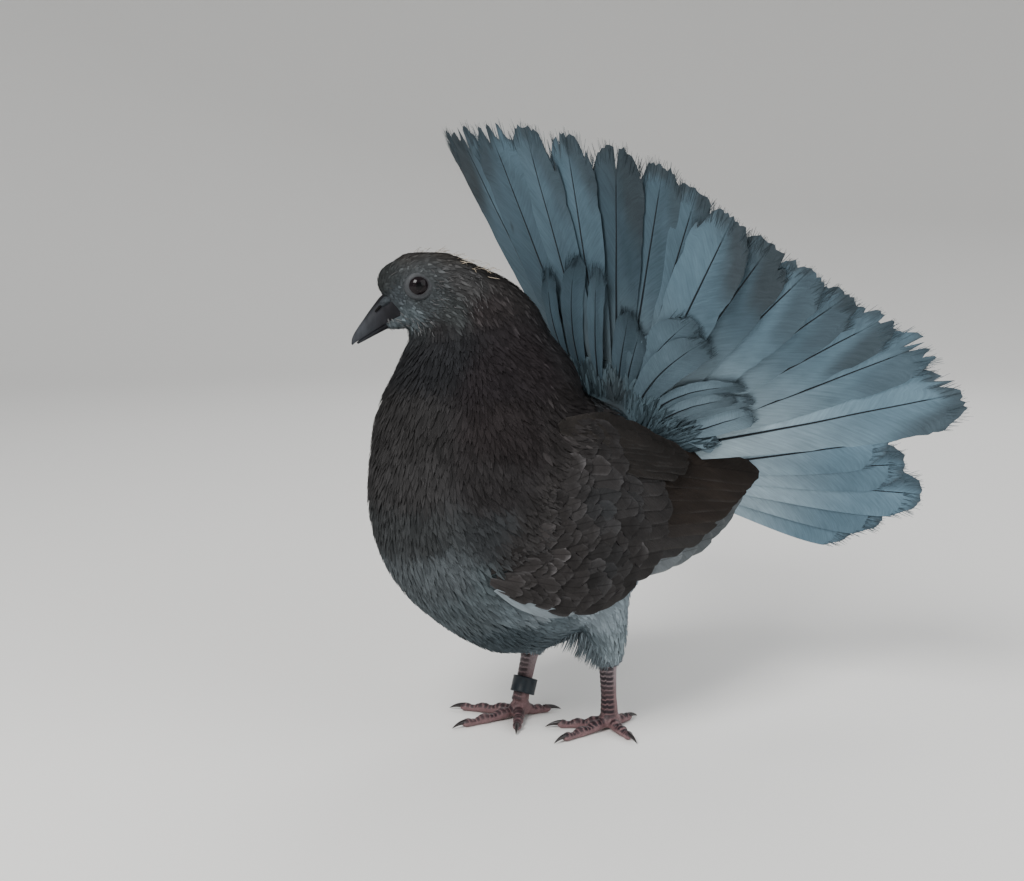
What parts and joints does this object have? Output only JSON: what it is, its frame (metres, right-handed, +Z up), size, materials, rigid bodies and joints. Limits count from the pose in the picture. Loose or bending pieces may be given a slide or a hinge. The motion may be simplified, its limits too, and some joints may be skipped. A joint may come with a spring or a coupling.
{
  "type": "fantail pigeon",
  "caption": "Still, life-size fantail pigeon, a dark young bird that stands with its neck drawn back, its bill low and its grey tail spread.",
  "frame": {"origin": "on the floor under the middle of the bird's bounding box", "axes": "+Z up from the floor, -Y the way the bird faces, +X to the bird's left"},
  "size_m": [0.2468, 0.2546, 0.2536],
  "materials": {
    "body_feathers": "matte",
    "neck_feathers": "satin",
    "head_feathers": "matte",
    "wing_feathers": "matte",
    "tail_feathers": "matte",
    "thigh_feathers": "matte",
    "bill_horn": "satin",
    "eye_dark": "gloss",
    "leg_skin": "matte",
    "claw_horn": "satin",
    "ring_plastic": "satin"
  },
  "bodies": {
    "root": {"torso": "body_feathers", "neck": "neck_feathers", "head": "head_feathers", "bill_upper": "bill_horn", "bill_lower": "bill_horn", "eye_left": "eye_dark", "eye_right": "eye_dark", "wing_left": "wing_feathers", "wing_right": "wing_feathers", "tail": "tail_feathers", "thigh_left": "thigh_feathers", "thigh_right": "thigh_feathers", "shank_left": "leg_skin", "shank_right": "leg_skin", "foot_left": "leg_skin", "foot_right": "leg_skin", "leg_ring": "ring_plastic", "claw_left_middle": "claw_horn", "claw_left_inner": "claw_horn", "claw_left_outer": "claw_horn", "claw_left_hind": "claw_horn", "claw_right_middle": "claw_horn", "claw_right_inner": "claw_horn", "claw_right_outer": "claw_horn", "claw_right_hind": "claw_horn"}
  },
  "joints": []
}
